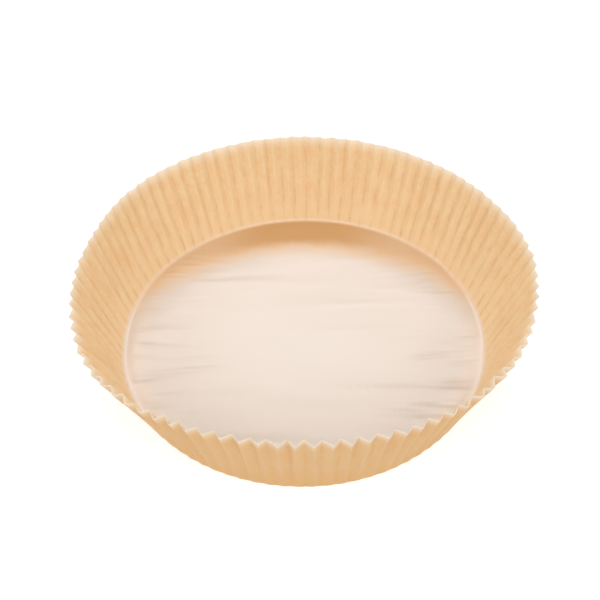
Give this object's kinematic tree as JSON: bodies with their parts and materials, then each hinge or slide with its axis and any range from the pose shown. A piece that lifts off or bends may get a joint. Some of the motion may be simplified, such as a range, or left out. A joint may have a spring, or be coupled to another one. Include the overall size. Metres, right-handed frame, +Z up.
{
  "type": "air fryer paper liner",
  "caption": "Round baking-paper liner pressed into a shallow flared cup, with a flat floor and a sharply fluted wall.",
  "frame": {"origin": "middle of the underside of the floor", "axes": "+Z up along the cup's axis, from the floor to the rim; X and Y are alike, with an outer fold on each"},
  "size_m": [0.2, 0.2, 0.045],
  "materials": {
    "paper": "unbleached tan baking paper, matt and slightly translucent"
  },
  "bodies": {
    "root": {"paper_liner": "paper"}
  },
  "joints": []
}
